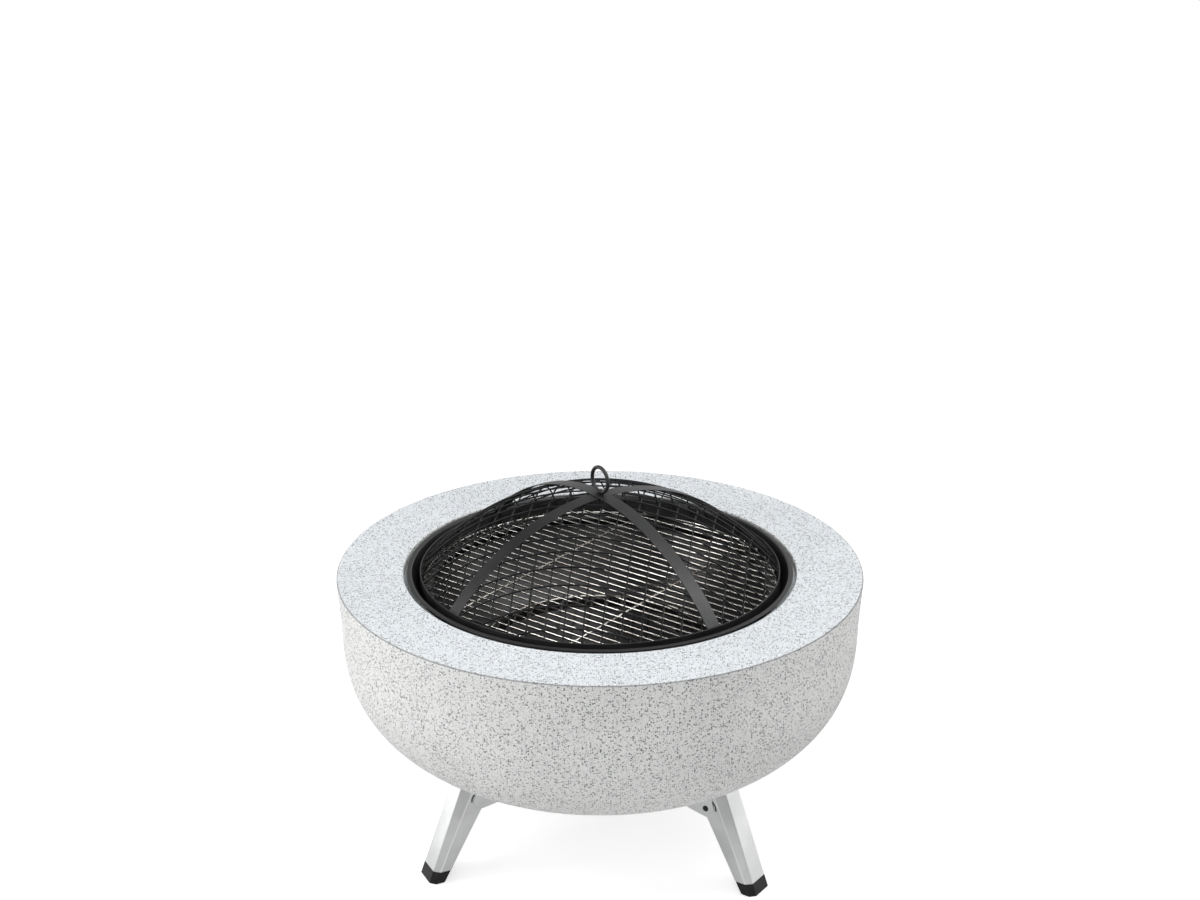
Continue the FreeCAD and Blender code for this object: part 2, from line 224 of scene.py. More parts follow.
def bent(start, middle, end, steps):
    """Points along the arc through three places, without its first."""
    a, b, c = Vector(start), Vector(middle), Vector(end)
    ab, bc = b - a, c - b
    m, n = (a + b) / 2, (b + c) / 2
    across = ab.x * bc.y - ab.y * bc.x
    k = ((n - m).dot(bc)) / across
    centre = m + Vector((-ab.y, ab.x)) * k
    first, final = a - centre, c - centre
    sweep = math.atan2(first.x * final.y - first.y * final.x, first.dot(final))
    return [centre + Matrix.Rotation(sweep * i / steps, 2) @ first for i in range(1, steps + 1)]


def beside(path, gap):
    """An open path moved sideways by a gap, to the left of its run."""
    moved = []
    for i, here in enumerate(path):
        before = path[max(i - 1, 0)]
        after = path[min(i + 1, len(path) - 1)]
        runs = [run.normalized() for run in (here - before, after - here) if run.length > 0]
        side = sum((Vector((-run.y, run.x)) for run in runs), Vector((0, 0)))
        side *= 2 / len(runs)
        moved.append(here + side * (2 * gap / side.length_squared))
    return moved


def hollow(path, gap):
    """The closed section of a sheet that follows a path."""
    return path + beside(path, gap)[::-1]


def spun(bm, section, steps):
    """Turns a closed section of (radius, height) points about the upright axis."""
    turns = [2 * math.pi * i / steps for i in range(steps)]
    rings = []
    for radius, z in section:
        if radius < 1e-6:
            rings.append([bm.verts.new((0, 0, z))])
        else:
            rings.append([bm.verts.new((radius * math.sin(a), -radius * math.cos(a), z))
                          for a in turns])
    for lower, upper in zip(rings, rings[1:] + rings[:1]):
        if len(lower) == len(upper) == 1:
            continue
        for i in range(steps):
            j = (i + 1) % steps
            corners = [lower[i], lower[j]] if len(lower) > 1 else [lower[0]]
            corners += [upper[j], upper[i]] if len(upper) > 1 else [upper[0]]
            bm.faces.new(corners)


def lofted(bm, rings):
    """Joins rings of points, end to end, into a closed body."""
    rows = [[bm.verts.new(point) for point in ring] for ring in rings]
    count = len(rows[0])
    for lower, upper in zip(rows, rows[1:]):
        for i in range(count):
            j = (i + 1) % count
            bm.faces.new([lower[i], lower[j], upper[j], upper[i]])
    bm.faces.new(rows[0][::-1])
    bm.faces.new(rows[-1])


def round_points(count, start=0.0):
    """Even steps round a circle as cosine and sine."""
    turns = [start + 2 * math.pi * i / count for i in range(count)]
    return [(math.cos(a), math.sin(a)) for a in turns]


def loop(bm, radius, wire, z, steps, sides):
    """A closed ring of round wire, lying flat."""
    spun(bm, [(radius + wire * c, z + wire * s) for c, s in round_points(sides)], steps)


def prism(bm, outline, low, high):
    """An outline in x and z, drawn out along y."""
    lofted(bm, [[(x, y, z) for x, z in outline] for y in (low, high)])


def meshed(name, bm, finish=None, turn=0.0):
    """An object from worked-out faces, turned about the middle in its mesh."""
    bmesh.ops.remove_doubles(bm, verts=bm.verts, dist=1e-7)
    bmesh.ops.recalc_face_normals(bm, faces=bm.faces)
    bmesh.ops.rotate(bm, cent=(0, 0, 0), matrix=Matrix.Rotation(turn, 3, "Z"), verts=bm.verts)
    mesh = bpy.data.meshes.new(name)
    bm.to_mesh(mesh)
    bm.free()
    mesh.shade_smooth()
    if finish:
        mesh.materials.append(finish)
    piece = bpy.data.objects.new(name, mesh)
    bpy.context.scene.collection.objects.link(piece)
    return piece


def plain(piece):
    """Bakes a piece's modifiers into its mesh."""
    graph = bpy.context.evaluated_depsgraph_get()
    mesh = bpy.data.meshes.new_from_object(piece.evaluated_get(graph))
    piece.modifiers.clear()
    old = piece.data
    piece.data = mesh
    mesh.name = piece.name
    bpy.data.meshes.remove(old)
    return piece


def carved(piece, cutter, operation="DIFFERENCE"):
    """Cuts a piece with another body, which is then thrown away."""
    cut = piece.modifiers.new("cut", "BOOLEAN")
    cut.operation = operation
    cut.solver = "EXACT"
    cut.object = cutter
    plain(piece)
    mesh = cutter.data
    bpy.data.objects.remove(cutter)
    bpy.data.meshes.remove(mesh)
    return piece


def evened(piece):
    """Keeps flats flat where they run into rounded edges."""
    piece.data.shade_smooth()
    even = piece.modifiers.new("even shading", "WEIGHTED_NORMAL")
    even.mode = "FACE_AREA"
    even.weight = 50
    even.keep_sharp = False
    return piece


def softened(piece, width):
    """Takes the sharpness off a piece's edges and evens out its shading."""
    bevel = piece.modifiers.new("soft edges", "BEVEL")
    bevel.width = width
    bevel.segments = 2
    bevel.limit_method = "ANGLE"
    bevel.angle_limit = math.radians(35)
    bevel.use_clamp_overlap = True
    return evened(plain(piece))


class NodeWork:
    """Makes and joins the nodes of one tree."""

    def __init__(self, tree):
        self.nodes = tree.nodes
        self.links = tree.links

    def put(self, socket, value):
        """Joins a socket to the one that feeds it, or sets its value."""
        if isinstance(value, NodeSocket):
            self.links.new(value, socket)
        else:
            socket.default_value = value

    def node(self, kind, values=(), **settings):
        made = self.nodes.new(kind)
        for key, value in settings.items():
            setattr(made, key, value)
        for key, value in dict(values).items():
            self.put(made.inputs[key], value)
        return made

    def sum(self, operation, *terms):
        return self.node("ShaderNodeMath", enumerate(terms), operation=operation).outputs[0]

    def product(self, first, second):
        return self.sum("MULTIPLY", first, second)

    def vector_sum(self, operation, *terms):
        return self.node("ShaderNodeVectorMath", enumerate(terms), operation=operation).outputs

    def vector(self, x, y, z):
        return self.node("ShaderNodeCombineXYZ", {"X": x, "Y": y, "Z": z}).outputs[0]

    def split(self, vector):
        return self.node("ShaderNodeSeparateXYZ", {0: vector}).outputs

    def between(self, value, low, high, start=0.0, end=1.0, **settings):
        """Goes from start to end while a value goes from low to high."""
        return self.node("ShaderNodeMapRange", {
            "Value": value, "From Min": low, "From Max": high,
            "To Min": start, "To Max": end}, **settings).outputs[0]

    def faded(self, value, low, high, start=0.0, end=1.0):
        """As between, with a soft beginning and end."""
        return self.between(value, low, high, start, end, interpolation_type="SMOOTHSTEP")

    def seen_rays(self):
        """Whether a ray shows the stage to the camera, and whether it shows it mirrored."""
        rays = self.node("ShaderNodeLightPath").outputs
        mirrored = self.sum("MAXIMUM", rays["Is Glossy Ray"], rays["Is Transmission Ray"])
        return rays["Is Camera Ray"], mirrored


class Rule(NodeWork):
    """A geometry node tree with named sizes, ended by Realize Instances and Set Material."""

    KINDS = {"int": "NodeSocketInt", "size": "NodeSocketFloat", "finish": "NodeSocketMaterial",
             "mesh": "NodeSocketGeometry"}

    def __init__(self, name, **sizes):
        self.tree = bpy.data.node_groups.new(name, "GeometryNodeTree")
        super().__init__(self.tree)
        sockets = self.tree.interface
        for label, kind in {"Mesh": "mesh", **sizes, "Finish": "finish"}.items():
            sockets.new_socket(name=label, in_out="INPUT", socket_type=self.KINDS[kind])
        sockets.new_socket(name="Mesh", in_out="OUTPUT", socket_type="NodeSocketGeometry")
        self.given = self.node("NodeGroupInput").outputs

    def step(self, kind, **values):
        """A geometry node's first result; an underscore in a socket's name stands for a space."""
        sockets = {key.replace("_", " "): value for key, value in values.items()}
        return self.node("GeometryNode" + kind, sockets).outputs[0]

    def end(self, geometry):
        real = self.step("RealizeInstances", Geometry=geometry)
        smooth = self.step("SetShadeSmooth", Geometry=real)
        dressed = self.step("SetMaterial", Geometry=smooth, Material=self.given["Finish"])
        self.node("NodeGroupOutput", {"Mesh": dressed})
        return self.tree


def grown(name, tree, values, start=None):
    """A plain mesh object that a node tree makes from these sizes."""
    piece = start or bpy.data.objects.new(name, bpy.data.meshes.new(name))
    piece.name = name
    if piece.name not in bpy.context.scene.collection.objects:
        bpy.context.scene.collection.objects.link(piece)
    modifier = piece.modifiers.new(name, "NODES")
    modifier.node_group = tree
    for item in tree.interface.items_tree:
        if item.in_out == "INPUT" and item.name in values:
            modifier[item.identifier] = values[item.name]
    return plain(piece)


def wire_row(rule, shift):
    """Points in a row along y, one to a wire."""
    pitch = rule.given["Pitch"]
    first = rule.product(rule.sum("SUBTRACT", rule.given["Wires"], 1.0), -0.5)
    first = rule.sum("MULTIPLY_ADD", first, pitch, shift)
    return rule.step("MeshLine", Count=rule.given["Wires"],
                     Start_Location=rule.vector(0.0, first, 0.0),
                     Offset=rule.vector(0.0, pitch, 0.0))


def wire_lines(rule, row):
    """Lines side by side: x runs from -1 to 1 along each, y is its distance from the middle."""
    stroke = rule.step("CurvePrimitiveLine", Start=(-1, 0, 0), End=(1, 0, 0))
    stroke = rule.step("ResampleCurve", Curve=stroke, Count=rule.given["Points"])
    return rule.step("RealizeInstances",
                     Geometry=rule.step("InstanceOnPoints", Points=row, Instance=stroke))


def half_chord(rule, radius, offset):
    squares = [rule.sum("POWER", value, 2.0) for value in (radius, offset)]
    return rule.sum("SQRT", rule.sum("SUBTRACT", *squares))


def line_places(rule):
    split = rule.split(rule.step("InputPosition"))
    return split["X"], split["Y"]


def round_wire(rule, lines, sides):
    outline = rule.step("CurvePrimitiveCircle", Resolution=sides, Radius=rule.given["Wire"])
    return rule.step("CurveToMesh", Curve=lines, Profile_Curve=outline, Fill_Caps=True)


def turned(rule, geometry):
    return rule.step("Transform", Geometry=geometry,
                     Rotation=rule.vector(0.0, 0.0, rule.given["Turn"]))


def rack_tree():
    """Straight wires that end on a ring, their cut ends eased, a weld spot under each end."""
    rule = Rule("rack wires", Wires="int", Points="int", Pitch="size", Reach="size", Wire="size",
                Height="size", Turn="size", Ring="size", Spot="size")
    given = rule.given
    row = wire_row(rule, 0.0)
    along, offset = line_places(rule)
    ease = rule.product(given["Wire"], 0.5)
    inner = rule.sum("LESS_THAN", rule.sum("ABSOLUTE", along), 0.9)
    half = rule.sum("SUBTRACT", half_chord(rule, given["Reach"], offset),
                    rule.product(inner, ease))
    where = rule.vector(rule.product(rule.sum("SIGN", along), half), offset, given["Height"])
    lines = rule.step("SetPosition", Geometry=wire_lines(rule, row), Position=where)
    ends = rule.step("CurveEndpointSelection")
    lines = rule.step("SetCurveRadius", Curve=lines, Selection=ends, Radius=0.6)
    bead = rule.step("MeshUVSphere", Segments=8, Rings=5, Radius=given["Spot"])
    bead = rule.step("Transform", Geometry=bead, Scale=(1.15, 1.0, 0.72))
    both = rule.node("GeometryNodeJoinGeometry")
    rule.put(both.inputs[0], round_wire(rule, lines, 12))
    chord = half_chord(rule, given["Ring"], offset)
    drop = rule.sum("SUBTRACT", given["Height"], given["Wire"])
    for side in (-1.0, 1.0):
        where = rule.vector(rule.product(chord, side), offset, drop)
        spots = rule.step("SetPosition", Geometry=row, Position=where)
        rule.put(both.inputs[0], rule.step("InstanceOnPoints", Points=spots, Instance=bead))
    return rule.end(turned(rule, both.outputs[0]))


def dome_wires_tree():
    """Wires bent over a dome in parallel upright planes."""
    rule = Rule("dome wires", Wires="int", Points="int", Pitch="size", Shift="size", Reach="size",
                Wire="size", Dome="size", Middle="size", Turn="size")
    given = rule.given
    along, offset = line_places(rule)
    bend = half_chord(rule, given["Dome"], offset)
    run = half_chord(rule, given["Reach"], offset)
    lean = rule.product(along, rule.sum("ARCSINE", rule.sum("DIVIDE", run, bend)))
    where = rule.vector(
        rule.product(bend, rule.sum("SINE", lean)), offset,
        rule.sum("MULTIPLY_ADD", bend, rule.sum("COSINE", lean), given["Middle"]))
    lines = wire_lines(rule, wire_row(rule, given["Shift"]))
    lines = rule.step("SetPosition", Geometry=lines, Position=where)
    return rule.end(turned(rule, round_wire(rule, lines, 10)))


def round_the_legs_tree():
    """Copies of one leg's fastener at every leg."""
    rule = Rule("fasteners", Legs="int", First="size")
    turn = rule.sum("DIVIDE", 2 * math.pi, rule.given["Legs"])
    angle = rule.sum("MULTIPLY_ADD", rule.step("InputIndex"), turn, rule.given["First"])
    return rule.end(rule.step(
        "InstanceOnPoints", Points=rule.step("Points", Count=rule.given["Legs"]),
        Instance=rule.given["Mesh"], Rotation=rule.vector(0.0, 0.0, angle)))


class Finish(NodeWork):
    """A surface finish: one shader, and the patterns that feed it."""

    FED = {"colour": "Base Color", "roughness": "Roughness", "normal": "Normal",
           "metallic": "Metallic"}

    def __init__(self, name, colour, metallic=0.0, roughness=0.5, specular=0.5):
        self.material = bpy.data.materials.new(name)
        self.material.use_nodes = True
        super().__init__(self.material.node_tree)
        self.shader = self.nodes["Principled BSDF"]
        self.shader.inputs["Base Color"].default_value = (*colour, 1)
        self.shader.inputs["Metallic"].default_value = metallic
        self.shader.inputs["Roughness"].default_value = roughness
        self.shader.inputs["Specular IOR Level"].default_value = specular
        where = self.node("ShaderNodeTexCoord").outputs
        self.object = where["Object"]
        self.facing = where["Normal"]

    def mark(self, name):
        """How strongly an attribute of the mesh is set."""
        return self.node("ShaderNodeAttribute", attribute_name=name).outputs["Fac"]

    def noise(self, scale, detail=2.0, rough=0.5, where=None):
        return self.node("ShaderNodeTexNoise", {
            "Vector": where or self.object, "Scale": scale, "Detail": detail,
            "Roughness": rough}).outputs[0]

    def spread(self, pattern, start, end):
        """A noise pattern's usual span, drawn out from start to end."""
        return self.between(pattern, 0.3, 0.7, start, end)

    def flecks(self, where, scale, reach, fade, strength):
        """Irregular spots, one to a cell, of varied size and strength."""
        cells = self.node("ShaderNodeTexVoronoi", {
            "Vector": where, "Scale": scale, "Randomness": 0.9}).outputs
        pick = self.node("ShaderNodeSeparateColor", {0: cells["Color"]}).outputs
        radius = self.between(pick[0], 0.0, 1.0, *reach)
        spots = self.between(self.sum("SUBTRACT", cells["Distance"], radius), *fade)
        return self.product(spots, self.between(pick[1], 0.0, 1.0, *strength))

    def mixed(self, share, first, second, blend="MIX"):
        mix = self.node("ShaderNodeMix", {0: share}, data_type="RGBA", blend_type=blend)
        for socket, colour in ((mix.inputs[6], first), (mix.inputs[7], second)):
            self.put(socket, colour if isinstance(colour, NodeSocket) else (*colour[:3], 1))
        return mix.outputs[2]

    def varied(self, share, colour, dark, pale=1.0):
        """A colour that drifts between a darker and a paler one."""
        ends = [[strength * value for value in colour] for strength in (dark, pale)]
        return self.mixed(self.between(share, 0.35, 0.65), *ends)

    def blended(self, first, second, share=0.5):
        """A share of one pattern and the rest of another."""
        return self.sum("ADD", self.product(first, share), self.product(second, 1.0 - share))

    def grey(self, value):
        return self.vector(value, value, value)

    def bumped(self, height, strength, distance, **under):
        return self.node("ShaderNodeBump", {
            "Height": height, "Strength": strength, "Distance": distance, **under}).outputs[0]

    def feed(self, **sockets):
        for key, value in sockets.items():
            self.put(self.shader.inputs[self.FED[key]], value)
        return self.material


def cast_stone(name, sizes):
    """Pale cast stone full of dark flecks, cooler in tint where it faces up, with painted shade in
    the hollow, a painted shade line on the rim's edge and a painted highlight on the ledge's edge.
    """
    finish = Finish(name, sizes.grey, roughness=0.82, specular=0.35)
    height = finish.split(finish.object)["Z"]
    flat = finish.vector_sum("MULTIPLY", finish.object, (1, 1, 0))["Vector"]
    out = finish.vector_sum("LENGTH", flat)["Value"]
    top = finish.between(finish.split(finish.facing)["Z"], 0.6, 0.9)

    def line(out_range, up_range, strength):
        """A thin line round the bowl, between two radii and two heights."""
        across, upward = finish.between(out, *out_range), finish.between(height, *up_range)
        return finish.product(finish.product(across, upward), strength)

    drift = finish.node("ShaderNodeTexNoise", {
        "Vector": finish.object, "Scale": 420.0, "Detail": 1.0}).outputs["Color"]
    shift = finish.vector_sum("MULTIPLY", drift, (0.002, 0.002, 0.002))["Vector"]
    wavy = finish.vector_sum("ADD", finish.object, shift)["Vector"]
    coarse = finish.flecks(wavy, scale=410.0, reach=(-0.05, 0.48), fade=(0.04, -0.04),
                           strength=(0.8, 1.0))
    fine = finish.flecks(wavy, scale=700.0, reach=(-0.12, 0.44), fade=(0.08, -0.06),
                         strength=(0.4, 0.8))
    flecks = finish.product(finish.sum("MAXIMUM", coarse, fine),
                            finish.between(top, 0.0, 1.0, 1.0, 0.9))
    grain = finish.noise(760.0, detail=2.0, rough=0.7)
    cloud = finish.noise(9.0, detail=3.0)
    tone = finish.sum("ADD", finish.spread(grain, -0.18, 0.18),
                      finish.spread(cloud, -0.03, 0.03))
    light = finish.sum("ADD", tone, 1.0)
    cool = finish.mixed(top, (0.997, 1.0, 0.997), (0.92, 0.955, 0.995))
    body = finish.mixed(1.0, sizes.grey, cool, "MULTIPLY")
    # Painted shade in the hollow: darker up under the overhang and darker still on the mouth's
    # inner wall, on top of the hollow's painted shade colour.
    depth = finish.between(height, sizes.top - mm(190), sizes.top - mm(110), 1.0, 0.5)
    mouth = finish.between(height, sizes.top - mm(33), sizes.top - mm(27), 1.0, 0.4)
    inner = finish.mixed(1.0, sizes.hollow, finish.grey(finish.product(depth, mouth)), "MULTIPLY")
    body = finish.mixed(finish.mark("inside"), body, inner)
    body = finish.mixed(1.0, body, finish.grey(light), "MULTIPLY")
    colour = finish.mixed(flecks, body, sizes.fleck)
    # Painted shade: a thin dark line along the rim's rounded outer edge.
    edge = line((sizes.radius - mm(1.9), sizes.radius - mm(1.4)),
                (sizes.top - mm(1.9), sizes.top - mm(1.4)), 0.6)
    colour = finish.mixed(edge, colour, sizes.fleck)
    ledge = sizes.top - sizes.recess_depth
    # Painted highlight: a pale line along the rounded inner edge of the ledge.
    ledge_highlight = line((sizes.mouth + mm(2.2), sizes.mouth + mm(1.4)),
                (ledge - mm(2.6), ledge - mm(2.0)), 0.8)
    colour = finish.mixed(ledge_highlight, colour, (0.97, 0.975, 0.98))
    pits = finish.sum("MULTIPLY_ADD", flecks, -0.6, finish.product(grain, 0.5))
    sway = finish.bumped(finish.noise(170.0, detail=2.0), strength=0.12, distance=0.002)
    normal = finish.bumped(pits, strength=0.35, distance=0.0006, Normal=sway)
    rough = finish.spread(grain, 0.74, 0.9)
    return finish.feed(colour=colour, roughness=rough, normal=normal)


def heat_paint(name, sizes):
    """Satin black heat paint, slightly grainy, a little greyer where it is thin."""
    finish = Finish(name, sizes.paint, roughness=0.42, specular=0.55)
    grain = finish.noise(1100.0, detail=2.0, rough=0.6)
    cloud = finish.noise(16.0, detail=3.0)
    colour = finish.varied(finish.blended(grain, cloud, 0.6), sizes.paint, dark=0.72, pale=1.45)
    rough = finish.spread(finish.blended(cloud, grain), 0.27, 0.40)
    normal = finish.bumped(grain, strength=0.16, distance=0.0005)
    return finish.feed(colour=colour, roughness=rough, normal=normal)


def powder_coat(name, sizes, specular=0.58):
    """Black powder coat with its fine orange-peel surface."""
    finish = Finish(name, sizes.coat, roughness=0.45, specular=specular)
    peel = finish.noise(700.0, detail=2.0, rough=0.5)
    colour = finish.varied(finish.noise(22.0, detail=2.0), sizes.coat, dark=0.75, pale=1.5)
    rough = finish.spread(peel, 0.38, 0.54)
    normal = finish.bumped(peel, strength=0.12, distance=0.0006)
    return finish.feed(colour=colour, roughness=rough, normal=normal)


def bright_plating(name, sizes):
    """Bright plated wire with drawing marks and a faint warm tint."""
    finish = Finish(name, sizes.plating, metallic=1.0, roughness=0.1)
    marks = finish.noise(420.0, detail=3.0, rough=0.6)
    tint = finish.between(finish.noise(30.0, detail=2.0), 0.35, 0.65)
    dull = [share * value for share, value in zip((0.82, 0.80, 0.76), sizes.plating)]
    colour = finish.mixed(tint, dull, sizes.plating)
    rough = finish.spread(marks, 0.07, 0.15)
    normal = finish.bumped(marks, strength=0.08, distance=0.0004)
    return finish.feed(colour=colour, roughness=rough, normal=normal)


def satin_alloy(name, tint, smoothest=0.28, roughest=0.40):
    """Satin alloy with a fine grain drawn down it, a painted highlight on a fold and painted shade
    in a slot.
    """
    finish = Finish(name, tint, metallic=1.0, roughness=0.36)
    down = finish.node("ShaderNodeMapping", {
        "Vector": finish.object, "Scale": (1500.0, 1500.0, 60.0)}).outputs[0]
    drawn = finish.noise(1.0, detail=3.0, rough=0.6, where=down)
    colour = finish.varied(finish.noise(25.0, detail=2.0), tint, dark=0.90)
    # Painted shade: the slot's walls and floor are painted near black.
    colour = finish.mixed(finish.mark("slot"), colour, [0.12 * value for value in tint])
    # Painted highlight: the fold is painted near white and made less metallic.
    fold = finish.mark("fold")
    colour = finish.mixed(fold, colour, (0.98, 0.98, 0.98))
    metal = finish.between(fold, 0.0, 1.0, 1.0, 0.2)
    rough = finish.spread(drawn, smoothest, roughest)
    normal = finish.bumped(drawn, strength=0.05, distance=0.0004)
    return finish.feed(colour=colour, roughness=rough, normal=normal, metallic=metal)


def moulded_black(name, tint, smoothest, roughest, grain=900.0):
    """Black moulding or blackened metal with a fine grain."""
    finish = Finish(name, tint, roughness=0.45, specular=0.35)
    grains = finish.noise(grain, detail=2.0, rough=0.6)
    colour = finish.varied(finish.noise(60.0, detail=2.0), tint, dark=0.7, pale=1.6)
    rough = finish.spread(grains, smoothest, roughest)
    normal = finish.bumped(grains, strength=0.12, distance=0.0005)
    return finish.feed(colour=colour, roughness=rough, normal=normal)


def given_finish(maker, name, *details):
    """The finish of that name, made when it is first asked for."""
    return bpy.data.materials.get(name) or maker(name, *details)


def set_in(piece, body, slot, *nodes):
    """Puts a finished piece on its body and hides the node that it stands for; its finish's slot is
    not used.
    """
    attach(piece, body)
    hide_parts(*nodes)
    return piece


def belly(sizes, inset, steps):
    """The stone's skin below its wall: a squarish ellipse, cut off by the flat underside."""
    centre, foot, deep = mm(-62.9), mm(345.5) - inset, mm(218.6) - inset
    squareness = 2 / 2.695
    start = sizes.top - mm(63)
    drop = (start - sizes.underside - inset) / deep
    last = math.asin(drop ** (1 / squareness))
    points = []
    for i in range(steps + 1):
        t = last * (i / steps)
        points.append((centre + (foot - centre) * math.cos(t) ** squareness,
                       start - deep * math.sin(t) ** squareness, 0))
    return points


class PIT_OT_stone_bowl(Operator):
    """Casts the speckled stone bowl with its rim, recess and hollow"""
    bl_idname = "fire_pit.stone_bowl"
    bl_label = "Stone bowl"

    def is_inside(self, sizes, outer, ledge, point):
        """One on the skin of the hollow, zero on the skin that shows from outside."""
        radius = point.xy.length
        if point.z > ledge - mm(2.4) or point.z < sizes.underside + sizes.wall / 2:
            return 0.0
        if point.z > outer[0][1]:
            return float(radius < sizes.radius - sizes.wall / 2)
        level = min(outer, key=lambda corner: abs(corner[1] - point.z))
        return float(radius < level[0] - sizes.wall / 2)

    def execute(self, context):
        sizes = context.scene.pit_stone
        outer = belly(sizes, inset=0.0, steps=40)
        outer[-1] = (*outer[-1][:2], mm(7))
        inner = belly(sizes, inset=sizes.wall, steps=30)
        inner[-1] = (*inner[-1][:2], mm(8))
        ledge = sizes.top - sizes.recess_depth
        under = sizes.top - mm(26)
        corners = [(sizes.mouth, under, mm(3)), (sizes.mouth, ledge - mm(3), 0),
                   (sizes.mouth, ledge, mm(2)), (sizes.recess, ledge, mm(1)),
                   (sizes.recess, sizes.top, mm(1.4)), (sizes.radius, sizes.top, sizes.edge)]
        corners += outer
        corners += [(0, sizes.underside, 0), (0, sizes.underside + sizes.wall, 0)]
        corners += inner[::-1]
        corners += [(inner[0][0] + mm(2), under - mm(8), 0), (inner[0][0] - mm(6), under, mm(4))]
        bm = bmesh.new()
        spun(bm, rounded(corners, steps=5), steps=224)
        piece = meshed("stone_bowl_cast", bm, given_finish(cast_stone, "cast stone", sizes))
        # The inside mark is where the stone takes the hollow's painted shade.
        inside = piece.data.attributes.new("inside", "FLOAT", "POINT")
        for vertex in piece.data.vertices:
            inside.data[vertex.index].value = self.is_inside(sizes, outer, ledge, vertex.co)
        set_in(evened(piece), "base", "stone", "stone_bowl")
        return {"FINISHED"}


class PIT_OT_fire_bowl(Operator):
    """Presses the black fire bowl with its lip, seat, shelf and sump"""
    bl_idname = "fire_pit.fire_bowl"
    bl_label = "Fire bowl"

    def execute(self, context):
        sizes = context.scene.pit_fire_bowl
        lip, bend = sizes.lip, sizes.bend
        seat, shelf, floor = lip - mm(22), lip - mm(121), lip - mm(169)
        hem = mm(256.3)
        seat_end = (mm(225), seat)
        neck = (mm(229.4), lip - mm(35))
        wall_foot = (mm(166), shelf)
        roll = bent(seat_end, (mm(222.2), seat - mm(4)), (mm(224.2), seat - mm(8.4)), steps=6)
        wall = bent(neck, (mm(209.1), lip - mm(70.6)), wall_foot, steps=30)
        corners = [(hem, lip, 0), (mm(250.8), lip, bend), (mm(240.3), seat, bend), (*seat_end, 0)]
        corners += [(x, z, 0) for x, z in roll]
        corners += [(*neck, mm(2.4))]
        corners += [(x, z, 0) for x, z in wall[:-3]]
        corners += [(*wall_foot, mm(13)), (mm(158), shelf, mm(1.2)),
                    (mm(157), lip - mm(133), mm(2.5)), (mm(97), floor, mm(12)), (0, floor, 0)]
        section = hollow(rounded(corners, steps=5, closed=False), sizes.sheet)
        tip = Vector((hem + sizes.sheet / 2, lip - sizes.sheet / 2))
        back, rise = Vector((mm(0.15), 0)), Vector((0, sizes.sheet * 0.32))
        section += [tip - back - rise, tip, tip - back + rise]
        bm = bmesh.new()
        spun(bm, section, steps=192)
        piece = meshed("fire_bowl_pressing", bm, given_finish(heat_paint, "heat paint", sizes))
        set_in(evened(piece), "bowl", "bowl_black", "fire_bowl")
        return {"FINISHED"}


def crossbar(bm, x, half, wire, z):
    """A straight bar with eased ends, lying along y."""
    ease = wire * 0.4
    ends = ((-half, 0.6), (ease - half, 1.0), (half - ease, 1.0), (half, 0.6))
    turns = round_points(16)
    lofted(bm, [[(x + wire * share * c, y, z + wire * share * s) for c, s in turns]
                for y, share in ends])


def welded_rack(name, sizes, plating, ring_steps, ring_sides, chord, spot):
    """Sets in a rack's ring and its row of wires; gives the height of the ring's middle."""
    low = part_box(name + "_ring")[0][2] + sizes.ring_wire
    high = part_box(name + "_wires")[0][2] + sizes.wire
    bm = bmesh.new()
    loop(bm, sizes.ring, sizes.ring_wire, low, ring_steps, ring_sides)
    set_in(meshed(name + "_ring_wire", bm, plating), name, "bright_wire", name + "_ring")
    tree = bpy.data.node_groups.get("rack wires") or rack_tree()
    wires = grown(name + "_wire_row", tree, {
        "Wires": sizes.count, "Points": 4, "Pitch": sizes.pitch, "Reach": sizes.reach,
        "Wire": sizes.wire, "Height": high, "Turn": sizes.turn, "Ring": chord,
        "Spot": sizes.wire * spot, "Finish": plating})
    set_in(wires, name, "bright_wire", name + "_wires")
    return low


class PIT_OT_charcoal_grate(Operator):
    """Welds up the charcoal grate from its ring, wires and crossbar"""
    bl_idname = "fire_pit.charcoal_grate"
    bl_label = "Charcoal grate"

    def execute(self, context):
        sizes = context.scene.pit_grate
        plating = given_finish(bright_plating, "bright plated wire", sizes)
        low = welded_rack("grate", sizes, plating, ring_steps=160, ring_sides=16,
                          chord=sizes.ring - mm(0.8), spot=1.55)
        bm = bmesh.new()
        crossbar(bm, 0.0, sizes.bar, sizes.ring_wire, low)
        bar = meshed("grate_cross_wire", bm, plating, sizes.turn)
        set_in(bar, "grate", "bright_wire", "grate_crossbar")
        return {"FINISHED"}


class PIT_OT_cooking_grill(Operator):
    """Welds up the cooking grill from its ring, wires and two crossbars"""
    bl_idname = "fire_pit.cooking_grill"
    bl_label = "Cooking grill"

    def execute(self, context):
        sizes = context.scene.pit_grill
        plating = given_finish(bright_plating, "bright plated wire", context.scene.pit_grate)
        low = welded_rack("grill", sizes, plating, ring_steps=192, ring_sides=14,
                          chord=sizes.ring, spot=1.3)
        inside = sizes.ring - sizes.ring_wire
        half = math.sqrt(inside ** 2 - (sizes.bar_offset + sizes.ring_wire) ** 2)
        bm = bmesh.new()
        for x in (-sizes.bar_offset, sizes.bar_offset):
            crossbar(bm, x, half, sizes.ring_wire, low)
        bars = meshed("grill_cross_wires", bm, plating, sizes.turn)
        set_in(bars, "grill", "bright_wire", "grill_crossbars")
        return {"FINISHED"}


def dome_middle(sizes):
    return BAND_FOOT + sizes.crown - sizes.dome


def strap_radii(sizes):
    """Inner radius of the lower and of the upper strap."""
    lower = sizes.dome + sizes.wire + mm(0.05)
    return lower, lower + sizes.strap_sheet + mm(0.2)


